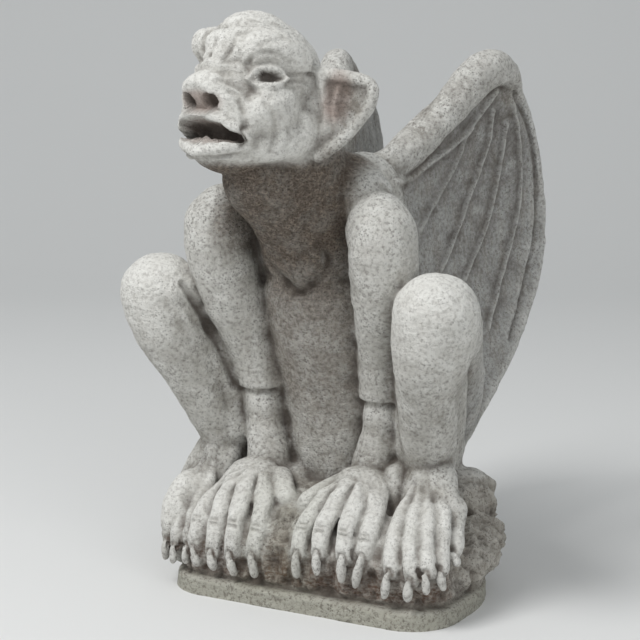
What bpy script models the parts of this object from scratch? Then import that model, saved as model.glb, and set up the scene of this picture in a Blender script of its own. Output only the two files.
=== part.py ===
"""Stone gargoyle: a crouching, bat-winged garden figure, cast in one piece with its rock and its low slab.

Metres, +Z up. The figure faces -Y, and its left side is at +X. The origin is the middle of the slab's
underside. The pose is drawn in units of which UNITS_IN_HEIGHT make up FIGURE_HEIGHT.
"""

import bpy
import bmesh
import numpy as np

# Driving dimensions
FIGURE_HEIGHT = 0.326
SLAB_WIDTH = 0.181
SLAB_DEPTH = 0.138
SLAB_THICKNESS = 0.0105
SLAB_CORNER_RADIUS = 0.028
SLAB_REAR_SWEEP = 0.091
SLAB_EDGE_ROUNDING = 0.003
ROCK_MARGIN = 0.005
FIGURE_ASIDE = -0.0135
FIGURE_BACK = -0.012
UNION_SINK = 0.004

# How the carving is drawn and how finely it is kept
UNITS_IN_HEIGHT = 326
DRAWN_GROUND = 10
STEPS_IN_HEIGHT = 204
BODY_SOFTENING = 4
CARVING_SOFTENING = 1
CARVING_FACES = 8700
DETAIL_WEIGHT = 0.9
DETAIL_FAVOUR = 0.1
SHARP_ANGLE = 0.9

STONE_COLOUR = (0.60, 0.59, 0.55, 1.0)
STONE_ROUGHNESS = 0.93


def clear_scene():
    for obj in list(bpy.data.objects):
        bpy.data.objects.remove(obj, do_unlink=True)


def stone():
    material = bpy.data.materials.new("cast_stone")
    material.use_nodes = True
    shader = material.node_tree.nodes["Principled BSDF"]
    shader.inputs["Base Color"].default_value = STONE_COLOUR
    shader.inputs["Roughness"].default_value = STONE_ROUGHNESS
    shader.inputs["Metallic"].default_value = 0.0
    return material


def through(rows, steps):
    """Rows read off a smooth curve through the given rows, closer together towards both ends."""
    rows = np.asarray(rows, float)
    last = len(rows) - 1
    at = last * (1 - np.cos(np.pi * np.linspace(0, 1, steps))) / 2
    below = np.minimum(at.astype(int), last - 1)
    f = (at - below)[:, None]
    slope = np.gradient(rows, axis=0)
    start, end = rows[below], rows[below + 1]
    return (
        (2 * f**3 - 3 * f**2 + 1) * start
        + (f**3 - 2 * f**2 + f) * slope[below]
        + (3 * f**2 - 2 * f**3) * end
        + (f**3 - f**2) * slope[below + 1]
    )


def unit(vectors):
    vectors = np.asarray(vectors, float)
    return vectors / np.linalg.norm(vectors, axis=-1, keepdims=True)


def skin(rings):
    """A closed skin over rings of points: the first and the last ring are single points."""
    count, around = rings.shape[:2]
    inner = rings[1:-1].reshape(-1, 3)
    points = np.vstack([rings[0, :1], inner, rings[-1, :1]])
    index = 1 + np.arange((count - 2) * around).reshape(count - 2, around)
    turned = np.roll(index, -1, axis=1)
    quads = np.stack([index[:-1], turned[:-1], turned[1:], index[1:]], -1).reshape(-1, 4)
    end = len(points) - 1
    caps = [(0, b, a) for a, b in zip(index[0], turned[0])]
    caps += [(end, a, b) for a, b in zip(index[-1], turned[-1])]
    return points, [tuple(quad) for quad in quads] + caps


def limb(rows, side=(1, 0, 0), steps=26, around=20, blunt=None):
    """A rounded limb along a curve, closed by quarter ellipses, the last one of length blunt.

    Each row is x, y, z, half width along side, half depth across it.
    """
    rows = through(rows, steps)
    spine, wide, deep = rows[:, :3], rows[:, 3], rows[:, 4]
    along = unit(np.gradient(spine, axis=0))
    side = unit(side - along * (along @ np.asarray(side, float))[:, None])
    across = np.cross(along, side)
    travel = np.concatenate([[0], np.cumsum(np.linalg.norm(np.diff(spine, axis=0), axis=1))])
    to_end = np.minimum(travel, travel[-1] - travel)
    cap = np.where(travel < travel[-1] / 2, deep[0], min(deep[-1], blunt or deep[-1]))
    cap = np.minimum(cap, travel[-1] / 2)
    closing = np.sqrt(1 - (1 - np.minimum(to_end / cap, 1)) ** 2)
    angle = np.linspace(0, 2 * np.pi, around, endpoint=False)[None, :, None]
    offset = side[:, None] * (wide * closing)[:, None, None] * np.cos(angle)
    offset = offset + across[:, None] * (deep * closing)[:, None, None] * np.sin(angle)
    return skin(spine[:, None] + offset)


def ball(centre, radii, steps=16, around=22):
    """An ellipsoid with its axes along x, y and z."""
    polar = np.linspace(0, np.pi, steps)[:, None]
    angle = np.linspace(0, 2 * np.pi, around, endpoint=False)[None, :]
    shape = [np.sin(polar) * np.cos(angle), np.sin(polar) * np.sin(angle), np.cos(polar) + 0 * angle]
    return skin(np.asarray(centre, float) + np.stack(shape, -1) * np.asarray(radii, float))


def sheet(front, thick):
    """A closed sheet: a grid of points made thick across itself and walled around its rim."""
    down, over = np.gradient(front, axis=0), np.gradient(front, axis=1)
    across = unit(np.cross(down, over)) * thick[..., None] / 2
    rows, columns = front.shape[:2]
    points = np.vstack([(front + across).reshape(-1, 3), (front - across).reshape(-1, 3)])
    index = np.arange(rows * columns).reshape(rows, columns)
    quads = np.stack([index[:-1, :-1], index[1:, :-1], index[1:, 1:], index[:-1, 1:]], -1).reshape(-1, 4)
    rim = np.concatenate([index[0, :-1], index[:-1, -1], index[-1, :0:-1], index[:0:-1, 0]])
    after = np.roll(rim, -1)
    half = rows * columns
    back = quads[:, ::-1] + half
    walls = np.stack([rim, after, after + half, rim + half], -1)
    return points, [tuple(quad) for quad in np.vstack([quads, back, walls])]


def mirrored(shell, across=(-1, 1, 1)):
    points, faces = shell
    return points * across, [face[::-1] for face in faces]


def both_sides(shells):
    return shells + [mirrored(shell) for shell in shells]


def joined(shells):
    points, faces, start = [], [], 0
    for shell_points, shell_faces in shells:
        points.append(shell_points)
        faces += [tuple(int(corner) + start for corner in face) for face in shell_faces]
        start += len(shell_points)
    return np.vstack(points), faces


# Torso and neck

def torso():
    trunk = limb(
        [
            (0, 62, 30, 40, 34),
            (0, 58, 78, 46, 44),
            (0, 48, 120, 44, 44),
            (0, 34, 160, 43, 42),
            (0, 14, 200, 47, 38),
            (0, -6, 232, 42, 32),
            (0, -16, 252, 30, 24),
        ],
        steps=32,
        around=28,
    )
    belly = limb(
        [
            (0, 26, 40, 30, 22),
            (0, 25, 80, 33, 25),
            (0, 18, 120, 35, 26),
            (0, 6, 160, 36, 28),
            (0, -8, 200, 33, 25),
        ],
        around=24,
    )
    chest = ball((0, -7, 206), (34, 24, 34))
    neck = limb(
        [
            (0, 8, 190, 33, 30),
            (0, -2, 212, 34, 35),
            (-3, -20, 238, 34, 33),
            (-8, -32, 262, 34, 33),
            (-10, -36, 296, 28, 28),
        ],
        steps=28,
        around=26,
    )
    throat = limb(
        [(-1, -12, 190, 20, 14), (-2, -28, 216, 20, 17), (-7, -44, 238, 24, 20), (-18, -62, 258, 22, 20)],
    )
    hump = ball((16, 22, 228), (24, 24, 28))
    shoulder = ball((52, -24, 215), (19, 19, 23))
    slope = limb([(8, 4, 246, 20, 20), (28, -8, 236, 18, 18), (50, -20, 222, 16, 17)], side=(0, 1, 0))
    return [trunk, belly, chest, neck, throat] + both_sides([hump, shoulder, slope])


# Arms and hands

def arm():
    """The upper arm ends over the thinner forearm in a short rounded step."""
    upper = limb(
        [
            (54, -23, 234, 16, 16),
            (55, -25, 208, 19, 21),
            (52, -17, 178, 18.5, 20),
            (46, -3, 148, 17, 18),
            (42.5, 2, 126, 15.5, 15.5),
            (41.5, 3, 111, 14.5, 14),
        ],
        steps=34,
        blunt=6,
    )
    fore = limb(
        [
            (43, 5, 140, 12, 12),
            (42, 4, 115, 12.5, 12.5),
            (39, 2, 92, 12, 12),
            (35, -1, 70, 13.5, 12),
            (35, -3, 54, 15, 12),
        ],
    )
    return [upper, fore]


def finger(start, knuckle, middle, base, tip, thick):
    """A finger or toe: a tube from the back of the hand to the nail's base, and the nail as a thin one."""
    start, knuckle, middle, base, tip = np.array([start, knuckle, middle, base, tip], float)
    beyond = base + 0.3 * (tip - base) + (0, 2.5, 0)
    bone = limb(
        [
            (*start, 0.8 * thick, 0.7 * thick),
            (*knuckle, 1.08 * thick, thick),
            (*middle, thick, thick),
            (*base, 0.94 * thick, 0.94 * thick),
            (*beyond, 0.8 * thick, 0.7 * thick),
        ],
        steps=24,
        around=14,
        blunt=4,
    )
    top = base + (0, -2.6, 0.5)
    half = (base + tip) / 2 + (0, -2.4, 0)
    nail = limb([(*top, 2.8, 3.2), (*half, 3, 3.6), (*tip, 2.2, 3.2)], steps=12, around=10)
    return [bone, nail]


def hand(wrist, knuckles, middles, bases, tips, thumb):
    wrist, centre = np.array(wrist, float), np.mean(knuckles, axis=0)
    back = limb(
        [
            (*wrist, 15, 10),
            (*((wrist + centre) / 2 + (0, 1, 2)), 18, 9),
            (*(centre + (0, 4, -3)), 21, 6),
            (*(centre + (0, -3, -14)), 21, 4),
        ],
        steps=20,
    )
    shells = [back]
    for place in zip(knuckles, middles, bases, tips):
        shells += finger(0.6 * wrist + 0.4 * np.array(place[0], float) + (0, -2, 4), *place, 5.7)
    widths = ((10, 8), (8, 7), (6.5, 6), (5.5, 5))
    shells.append(limb([(*point, *width) for point, width in zip(thumb, widths)], steps=16, around=14))
    return shells


def hands():
    right = hand(
        (-35, -3, 67),
        [(-54, -29, 53), (-43, -33, 57), (-31, -34, 59), (-19, -32, 57)],
        [(-56, -43, 42), (-42, -46, 43), (-29, -47, 44), (-14, -45, 43)],
        [(-55.5, -49, 26), (-42, -51, 26), (-29, -51, 26.5), (-14.5, -50, 28)],
        [(-51, -53, 15.5), (-39, -54, 15), (-25, -54, 14), (-11, -54, 15)],
        [(-27, -8, 65), (-16, -18, 62), (-8, -26, 58), (-2, -31, 55)],
    )
    left = hand(
        (36, -3, 69),
        [(23, -31, 61), (33, -34, 63), (44, -34, 62), (54, -31, 60)],
        [(17, -45, 48), (30, -48, 49), (45, -48, 49), (57, -45, 47)],
        [(15.7, -50, 33), (29.5, -51, 35.5), (46, -51, 35.5), (57, -49, 37)],
        [(16.5, -54, 19), (30.5, -55, 23), (46, -55, 21), (54, -54, 19)],
        [(30, -9, 67), (19, -19, 63), (10, -27, 58), (4, -32, 54)],
    )
    return right + left


# Legs and feet

def leg():
    knee = ball((91, -31, 172), (24.5, 24.5, 24))
    shin = limb(
        [
            (91, -31, 196, 20, 20),
            (91, -31, 172, 24, 24),
            (86, -26, 150, 22, 23.5),
            (79, -16, 126, 17.5, 19.5),
            (74, -5, 103, 16, 17),
            (70, 4, 84, 15, 16),
            (69, 8, 60, 15, 17),
        ],
        steps=32,
    )
    calf = limb([(80, -8, 172, 20, 22), (73, -2, 140, 19, 22), (66, 6, 110, 17, 19), (60, 10, 74, 15, 18)])
    thigh = limb(
        [
            (91, -36, 172, 20, 22),
            (79, -4, 161, 24, 25),
            (57, 32, 143, 26, 30),
            (40, 62, 112, 26, 34),
            (36, 70, 70, 22, 26),
        ],
        side=(0, 0, 1),
    )
    crook = limb([(74, 0, 148, 20, 20), (62, 20, 118, 22, 22), (48, 42, 84, 24, 24), (42, 52, 50, 22, 22)])
    heel = ball((66, 14, 58), (16, 20, 22))
    return [knee, shin, calf, thigh, crook, heel]


def foot(ankle, middles, bends, bases, tips):
    """The instep drapes over the rock, and the toes are long ridges that fan out from the ankle."""
    ankle, front = np.array(ankle, float), np.mean(middles, axis=0)
    instep = limb(
        [
            (*(ankle + (0, 6, 2)), 15, 14),
            (*((ankle + front) / 2 + (0, 2, -3)), 17, 9),
            (*(front + (0, 4, -9)), 19, 6),
            (*(front + (2, -4, -22)), 18, 4),
        ],
        steps=20,
    )
    shells = [instep]
    for middle, bend, base, tip in zip(np.array(middles, float), bends, bases, tips):
        cord = limb(
            [
                (*(0.85 * ankle + 0.15 * middle + (0, -8, 2)), 2.6, 3),
                (*((ankle + middle) / 2), 3, 4),
                (*(middle + (0, 1, 0)), 4.3, 4.6),
            ],
            steps=14,
            around=12,
        )
        shells.append(cord)
        shells += finger(0.3 * ankle + 0.7 * middle, middle, bend, base, tip, 4.9)
    return shells


def feet():
    left = foot(
        (71, 0, 80),
        [(70, -29, 57), (79, -32, 57), (86, -30, 57), (92, -23, 58), (95, -10, 60)],
        [(73, -46, 43), (84, -46, 42), (92, -42, 43), (97, -34, 44), (99, -20, 49)],
        [(75.6, -52, 32), (88, -51, 29), (96, -47, 33), (100, -39, 34), (102, -25, 41)],
        [(73.5, -56, 16.5), (87.5, -55, 17), (97.5, -51, 21), (104, -43, 22), (106, -29, 33)],
    )
    right = foot(
        (-69, 2, 80),
        [(-64, -26, 54), (-71, -27, 54), (-77, -24, 55), (-81, -16, 56), (-83, -5, 60)],
        [(-64, -40, 39), (-72, -40, 38), (-79, -36, 39), (-84, -27, 40), (-86, -14, 44)],
        [(-62, -46, 26), (-71, -46, 25), (-79, -42, 26), (-84, -33, 28), (-87, -21, 33)],
        [(-61, -51, 15), (-70, -51, 14), (-79, -46, 14), (-85, -36, 16), (-89, -25, 22)],
    )
    return left + right


# Wings

def wing_grid(rows=40, columns=24):
    """The wing's middle surface: ruled from its root line on the back to its free edge, a little hollow."""
    root = through([(14, 34, 246), (20, 32, 215), (30, 34, 175), (42, 36, 130), (46, 36, 84)], rows)
    edge = through(
        [(54, 116, 308), (56, 138, 300), (57, 164, 278), (58, 181, 248), (60, 188, 203), (60, 180, 166),
         (60, 160, 141), (60, 134, 120), (60, 106, 101), (60, 80, 86), (60, 56, 70)],
        rows,
    )
    over = np.linspace(0, 1, columns)[None, :, None]
    hollow = 7 * np.sin(np.pi * over) * unit((-0.9, 0.35, 0))
    return root[:, None] * (1 - over) + edge[:, None] * over + hollow


def on_wing(grid, points):
    """Points given as share of the way down and share of the way out, read off the wing."""
    down, out = np.asarray(points, float).T
    rows, columns = grid.shape[:2]
    share = (1 - np.cos(np.pi * np.linspace(0, 1, rows))) / 2
    row = np.interp(down, share, np.arange(rows)).round().astype(int)
    return grid[row, (out * (columns - 1)).round().astype(int)]


def wing():
    grid = wing_grid()
    rows, columns = grid.shape[:2]
    out = np.linspace(0, 1, columns)[None, :] + np.zeros((rows, 1))
    membrane = sheet(grid, 11 - 4 * out)
    arm_bone = limb(
        [
            (8, 26, 236, 12, 12),
            (20, 50, 247, 10, 11),
            (30, 70, 260, 9, 9.5),
            (40, 89, 280, 10, 11),
            (49, 106, 298, 11, 13),
            (55, 119, 303, 10, 12),
            (57, 136, 298, 7, 8),
            (57, 150, 288, 4, 5),
        ],
        side=(0.9, -0.45, 0),
        steps=34,
    )
    edge = on_wing(grid, [(down, 0.98) for down in (0.1, 0.25, 0.4, 0.55, 0.7, 0.85, 0.97)])
    rim = limb([(*point, 5, 4) for point in edge], steps=40, around=12)
    ribs = []
    for lower, spread in ((0.80, 0.34), (0.78, 0.56), (0.74, 0.78)):
        path = [
            (0.10, 0.93),
            (0.30 * lower + 0.05, 0.93 - 0.35 * (0.93 - spread)),
            (0.65 * lower, 0.93 - 0.75 * (0.93 - spread)),
            (lower, spread),
        ]
        ribs.append(limb([(*point, 7, 2.6) for point in on_wing(grid, path)], steps=26, around=10))
    return [membrane, arm_bone, rim] + ribs


# Head, drawn level as forward, left and up, then tilted up and turned to the figure's right

HEAD_CENTRE = (-10.0, -40.0, 291.0)
HEAD_TURN = np.radians(18)
HEAD_TILT = np.radians(12)


def head_axes():
    """The head's forward, left and up in the figure's frame."""
    level = np.array([-np.sin(HEAD_TURN), -np.cos(HEAD_TURN), 0])
    forward = np.cos(HEAD_TILT) * level + np.sin(HEAD_TILT) * np.array([0, 0, 1])
    left = np.array([np.cos(HEAD_TURN), -np.sin(HEAD_TURN), 0])
    return np.array([forward, left, np.cross(forward, left)])


def faced(shells):
    return [(np.asarray(HEAD_CENTRE) + points @ head_axes(), faces) for points, faces in shells]


def left_right(shells):
    return shells + [mirrored(shell, (1, -1, 1)) for shell in shells]


def ear():
    rows, columns = 24, 16
    front = through([(1, 31, 13), (0, 30, 2), (-1, 28, -11), (-1, 27, -23), (-2, 27, -34)], rows)
    rim = through(
        [(-6, 42, 12.5), (-12, 52, 12), (-18, 60.5, 10.5), (-20, 62.5, 4), (-19, 58, -7), (-17, 51, -17),
         (-14, 43, -26), (-10, 34, -34)],
        rows,
    )
    out = np.linspace(0, 1, columns)[None, :, None]
    grid = front[:, None] * (1 - out) + rim[:, None] * out
    grid = grid + 2 * np.sin(np.pi * out) * np.array([-1.0, -0.3, 0])
    border = np.vstack([grid[0, ::4], rim[2::3]])
    edge = limb([(*point, 4, 4) for point in border], steps=36, around=12)
    return [sheet(grid, 5.5 + np.zeros((rows, columns))), edge]


def skull():
    """The head's rounded masses: the dome, the cheeks, the muzzle, the chin, the jaw and the brow."""
    middle = [
        ball((7, 0, 4), (36, 34.5, 36)),
        ball((15, 0, 12), (28, 28, 31)),
        ball((13, 0, -10), (30, 34, 30)),
        ball((22, 0, -18), (27, 32, 22)),
        ball((22, 0, -30), (24, 27, 19)),
        ball((33, -17, 20), (10, 10.5, 10)),
        ball((30, 18, 18), (9.5, 12, 9)),
        limb([(31, -16, 20, 9, 9), (34, 0, 20, 9, 9), (30, 18, 19, 9, 9)], side=(0, 0, 1)),
        limb([(32, 0, 22, 12, 9), (36, 0, 10, 12, 10), (40, 0, -2, 15, 12)], side=(0, 1, 0)),
    ]
    jaw = limb(
        [(-6, 28, -8, 13, 10), (0, 28, -22, 13, 10), (16, 22, -29, 12, 11), (27, 10, -33, 10, 9)],
        side=(0, 0, 1),
    )
    brow = limb(
        [
            (29, 12, 22, 9, 8),
            (28, 22, 22, 10, 8),
            (21, 29, 21, 10, 7),
            (11, 33, 18, 9, 5),
            (2, 34, 14, 8, 4),
        ],
        side=(0, 0, 1),
    )
    cheek = ball((17, 27, -12), (17, 11, 16))
    nostril_wing = ball((37, 14, -10), (10, 10, 8.5))
    return faced(middle + left_right([jaw, brow, cheek, nostril_wing]))


def face():
    """The nose, the two lips and the ears."""
    upper = [(31, -28, -31), (38, -23, -26), (45, -12, -20.5), (47.5, 0, -19.5)]
    lower = [(30, -27, -33), (37, -19, -35), (41, -9, -38), (42, 0, -39.5)]
    lips = []
    for half, thick in ((upper, 3), (lower, 4)):
        line = half + [(x, -y, z) for x, y, z in half[-2::-1]]
        lips.append(limb([(*point, thick, thick) for point in line], side=(0, 0, 1), steps=40, around=12))
    nose = ball((40, 0, -6), (14, 18, 10.5))
    return faced([nose] + lips + left_right(ear()))


# Mouth, eyes and nostrils: the centre, radii and direction of each hollow in the head's own frame
HOLLOWS = (
    ((46, 0, -29), (16, 14, 7.5), (-1, 0, 0)),
    ((42, 11, -29), (15, 10, 6), (-1, 0, 0)),
    ((42, -11, -29), (15, 10, 6), (-1, 0, 0)),
    ((37, 20, -30.5), (9, 6, 3), (-1, 0, 0)),
    ((37, -20, -30.5), (9, 6, 3), (-1, 0, 0)),
    ((28.5, 28.5, 5), (8, 8.5, 5.5), (-0.75, -0.65, 0)),
    ((28.5, -28.5, 5), (8, 8.5, 5.5), (-0.75, 0.65, 0)),
    ((47, 9, -13), (6, 4.5, 4.5), (-0.8, 0, 0.6)),
    ((47, -9, -13), (6, 4.5, 4.5), (-0.8, 0, 0.6)),
)
NOSE_UNDERSIDE = ((48.5, 0, -12), (14, 26, 9), (0.8, 0, -0.6))


def pressed(points):
    """Moves what lies inside a hollow's ellipsoid along the hollow's direction onto its far side."""
    axes = head_axes()
    for centre, radii, towards in HOLLOWS:
        local = ((points - HEAD_CENTRE) @ axes.T - centre) / radii
        way = unit(towards) / radii
        inside = (local**2).sum(1) < 1
        a, b, c = way @ way, local @ way, (local**2).sum(1) - 1
        travel = (-b + np.sqrt(np.maximum(b**2 - a * c, 0))) / a
        points = points + np.where(inside, travel, 0)[:, None] * (unit(towards) @ axes)
    return points


def flattened(points):
    """Moves what lies beyond the plane of the nose's underside onto that plane."""
    centre, radii, facing = NOSE_UNDERSIDE
    axes, facing = head_axes(), unit(facing)
    local = (points - HEAD_CENTRE) @ axes.T - centre
    inside = ((local / radii) ** 2).sum(1) < 1
    return points - (np.maximum(local @ facing, 0) * inside)[:, None] * (facing @ axes)


# Rock and slab

def slab_outline(inset, steps=10):
    """The slab's outline drawn in by inset: a straight front, rounded corners, an elliptic back."""
    half_width = SLAB_WIDTH / 2 - inset
    front, side_end = -SLAB_DEPTH / 2 + inset, SLAB_DEPTH / 2 - SLAB_REAR_SWEEP
    radius = max(SLAB_CORNER_RADIUS - inset, SLAB_EDGE_ROUNDING)
    turn = np.radians(np.linspace(-90, 0, steps))
    corner_x = half_width - radius + radius * np.cos(turn)
    corner = np.stack([corner_x, front + radius + radius * np.sin(turn)], -1)
    sweep = np.radians(np.linspace(0, 180, 3 * steps))
    back_y = side_end + (SLAB_REAR_SWEEP - inset) * np.sin(sweep)
    back = np.stack([half_width * np.cos(sweep), back_y], -1)
    return np.vstack([corner, back, corner[::-1] * (-1, 1)])


def rock():
    """Weathered ground: the slab's outline drawn in towards the top, with lumps and rounded boulders."""
    deepest = min(SLAB_WIDTH / 2, SLAB_DEPTH / 2) - SLAB_EDGE_ROUNDING
    levels = ((4, 45), (4, 4), (14, 0), (22, 0), (34, 2), (44, 6), (52, 15), (58, 32), (60, 59))
    rings = []
    for height, inset in levels:
        inset = min(ROCK_MARGIN + inset / 1000, deepest)
        flat = (slab_outline(inset) - (FIGURE_ASIDE, FIGURE_BACK)) * UNITS_IN_HEIGHT / FIGURE_HEIGHT
        ring = np.column_stack([flat, np.full(len(flat), height)])
        lumps = 1.6 * np.sin(ring[:, 0] / 9 + height / 7) + 1.6 * np.sin(ring[:, 1] / 8 - height / 6)
        rings.append(ring + np.column_stack([lumps, -lumps, 0 * lumps]) * (height > DRAWN_GROUND))
    first, last = rings[0].mean(axis=0), rings[-1].mean(axis=0)
    rings = [np.tile(first, (len(rings[0]), 1))] + rings + [np.tile(last, (len(rings[0]), 1))]
    boulders = [
        ball((82, 20, 26), (23, 27, 20)),
        ball((88, 6, 22), (18, 16, 16)),
        ball((72, 50, 48), (18, 22, 20)),
        ball((78, 40, 28), (22, 24, 18)),
        ball((0, -12, 46), (30, 26, 15)),
        ball((60, -26, 40), (14, 18, 16)),
        ball((-64, -18, 40), (12, 18, 16)),
        ball((-74, -16, 24), (15, 24, 16)),
    ]
    fillings = [
        ball((-21, 4, 50), (14, 18, 20)),
        ball((21, 4, 50), (14, 18, 20)),
        ball((54, -6, 56), (11, 14, 24)),
    ]
    return [skin(np.array(rings))] + boulders + fillings


def slab():
    mesh = bpy.data.meshes.new("gargoyle")
    bm = bmesh.new()
    base = bm.faces.new([bm.verts.new((x, y, 0)) for x, y in slab_outline(0)])
    raised = bmesh.ops.extrude_face_region(bm, geom=[base])["geom"]
    upper = [vert for vert in raised if isinstance(vert, bmesh.types.BMVert)]
    bmesh.ops.translate(bm, verts=upper, vec=(0, 0, SLAB_THICKNESS))
    bmesh.ops.recalc_face_normals(bm, faces=bm.faces)
    level = SLAB_EDGE_ROUNDING / 2
    rims = [edge for edge in bm.edges if abs(edge.verts[0].co.z - edge.verts[1].co.z) < level]
    bmesh.ops.bevel(bm, geom=rims, offset=SLAB_EDGE_ROUNDING, segments=3, profile=0.5, affect="EDGES")
    bm.to_mesh(mesh)
    bm.free()
    mesh.shade_smooth()
    mesh.set_sharp_from_angle(angle=SHARP_ANGLE)
    return mesh


# Assembly

def object_of(name, mesh, material=None):
    obj = bpy.data.objects.new(name, mesh)
    if material:
        mesh.materials.append(material)
    bpy.context.scene.collection.objects.link(obj)
    return obj


def fused(shells, rounds):
    """The outer skin of all the shells together on a grid of cubes, softened that many rounds."""
    points, faces = joined(shells)
    mesh = bpy.data.meshes.new("shells")
    mesh.from_pydata(points.tolist(), [], faces)
    work = object_of("shells", mesh)
    remesh = work.modifiers.new("fuse", "REMESH")
    remesh.mode = "VOXEL"
    remesh.voxel_size = UNITS_IN_HEIGHT / STEPS_IN_HEIGHT
    soften = work.modifiers.new("soften", "SMOOTH")
    soften.factor = 0.5
    soften.iterations = rounds
    bpy.context.view_layer.update()
    skin_mesh = bpy.data.meshes.new_from_object(work.evaluated_get(bpy.context.evaluated_depsgraph_get()))
    bpy.data.objects.remove(work)
    return skin_mesh


def coordinates(mesh):
    at = np.empty(len(mesh.vertices) * 3, np.float32)
    mesh.vertices.foreach_get("co", at)
    return at.reshape(-1, 3).astype(float)


def largest_body(mesh):
    """Deletes every crumb that isn't joined to the largest body of the mesh."""
    bm = bmesh.new()
    bm.from_mesh(mesh)
    left = set(bm.verts)
    bodies = []
    while left:
        body, edge = set(), [left.pop()]
        while edge:
            vert = edge.pop()
            body.add(vert)
            near = {link.other_vert(vert) for link in vert.link_edges} & left
            left -= near
            edge.extend(near)
        bodies.append(body)
    bodies.sort(key=len)
    crumbs = [vert for body in bodies[:-1] for vert in body]
    bmesh.ops.delete(bm, geom=crumbs, context="VERTS")
    bm.to_mesh(mesh)
    bm.free()
    return mesh


def detailed(points):
    """True for the face, the hands and the feet, which keep more of their triangles."""
    face_zone = np.linalg.norm(points - HEAD_CENTRE - (-10, -28, -4), axis=1) < 46
    limbs = (points[:, 2] > 11) & (points[:, 2] < 66) & (points[:, 1] < -24)
    return face_zone | limbs


def figure():
    """The rounded masses fused and softened, then the finer shells fused on and the hollows pressed in."""
    masses = torso() + both_sides(arm() + leg() + wing()) + skull() + rock()
    body = fused(masses, BODY_SOFTENING)
    body_shell = (coordinates(body), [tuple(quad.vertices) for quad in body.polygons])
    mesh = largest_body(fused([body_shell] + hands() + feet() + face(), CARVING_SOFTENING))
    at = pressed(flattened(coordinates(mesh)))
    fine = detailed(at)
    at = (at - (0, 0, DRAWN_GROUND)) * FIGURE_HEIGHT / UNITS_IN_HEIGHT
    at = at + (FIGURE_ASIDE, FIGURE_BACK, SLAB_THICKNESS)
    at[:, 2] = np.maximum(at[:, 2], SLAB_THICKNESS - UNION_SINK)
    mesh.vertices.foreach_set("co", at.astype(np.float32).ravel())
    mesh.update()
    mesh.shade_smooth()
    return mesh, fine


def carving(material):
    """The figure and its rock as a guide for the union, thinned to its budget of triangles."""
    mesh, fine = figure()
    guide = object_of("carving", mesh, material)
    group = guide.vertex_groups.new(name="plain")
    group.add(np.flatnonzero(~fine).tolist(), 1.0, "REPLACE")
    group.add(np.flatnonzero(fine).tolist(), DETAIL_WEIGHT, "REPLACE")
    thin = guide.modifiers.new("thin", "DECIMATE")
    thin.ratio = CARVING_FACES / (2 * len(mesh.polygons))
    thin.vertex_group = group.name
    thin.vertex_group_factor = DETAIL_FAVOUR
    guide.hide_render = True
    guide.display_type = "WIRE"
    return guide


def build():
    clear_scene()
    material = stone()
    gargoyle = object_of("gargoyle", slab(), material)
    union = gargoyle.modifiers.new("standing on the slab", "BOOLEAN")
    union.operation = "UNION"
    union.solver = "MANIFOLD"
    union.object = carving(material)


build()
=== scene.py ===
import bpy
import numpy as np
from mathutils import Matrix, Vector


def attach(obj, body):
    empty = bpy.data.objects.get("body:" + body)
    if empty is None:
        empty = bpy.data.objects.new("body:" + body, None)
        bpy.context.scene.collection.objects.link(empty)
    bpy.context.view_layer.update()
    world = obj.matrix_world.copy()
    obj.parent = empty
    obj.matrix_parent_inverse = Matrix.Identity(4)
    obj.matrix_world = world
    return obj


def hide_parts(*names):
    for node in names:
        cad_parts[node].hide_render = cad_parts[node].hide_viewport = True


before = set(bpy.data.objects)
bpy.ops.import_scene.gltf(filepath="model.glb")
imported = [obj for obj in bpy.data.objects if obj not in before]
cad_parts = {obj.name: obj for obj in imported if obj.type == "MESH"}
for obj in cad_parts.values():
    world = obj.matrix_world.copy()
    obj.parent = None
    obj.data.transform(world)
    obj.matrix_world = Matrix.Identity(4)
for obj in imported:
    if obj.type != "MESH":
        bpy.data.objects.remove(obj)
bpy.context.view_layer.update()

# Torso and neck
# Cast stone, one skin with everything else. It is drawn here as rounded masses, in millimetres, with the
# figure facing -Y, its left side at +X and the slab's top at z = 10. The masses are fused further down. Folds
# are lines on the finished skin, each with its half width and its height, which is below 0 where it is cut.


def through(rows, steps):
    """Rows read off a smooth curve through the given rows: cubic pieces, denser towards both ends."""
    rows = np.asarray(rows, float)
    last = len(rows) - 1
    at = last * (1 - np.cos(np.pi * np.linspace(0, 1, steps))) / 2
    below = np.minimum(at.astype(int), last - 1)
    f = (at - below)[:, None]
    slope = np.gradient(rows, axis=0)
    rise = (3 - 2 * f) * f**2
    return (
        (1 - rise) * rows[below]
        + rise * rows[below + 1]
        + (f**3 - 2 * f**2 + f) * slope[below]
        + (f**3 - f**2) * slope[below + 1]
    )


def unit(vectors):
    """Each vector divided by its own length."""
    vectors = np.asarray(vectors, float)
    return vectors / np.linalg.norm(vectors, axis=-1, keepdims=True)


def skin(rings):
    """A closed skin over a grid of rings: quads between neighbours, and a fan from one point at each end."""
    count, around = rings.shape[:2]
    points = np.vstack([rings[0, :1], rings[1:-1].reshape(-1, 3), rings[-1, :1]])
    index = 1 + np.arange((count - 2) * around).reshape(count - 2, around)
    turned = np.roll(index, -1, axis=1)
    quads = np.stack([index[:-1], turned[:-1], turned[1:], index[1:]], -1).reshape(-1, 4)
    end = len(points) - 1
    caps = [(0, b, a) for a, b in zip(index[0], turned[0])]
    caps += [(end, a, b) for a, b in zip(index[-1], turned[-1])]
    return points, [tuple(quad) for quad in quads] + caps


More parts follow.
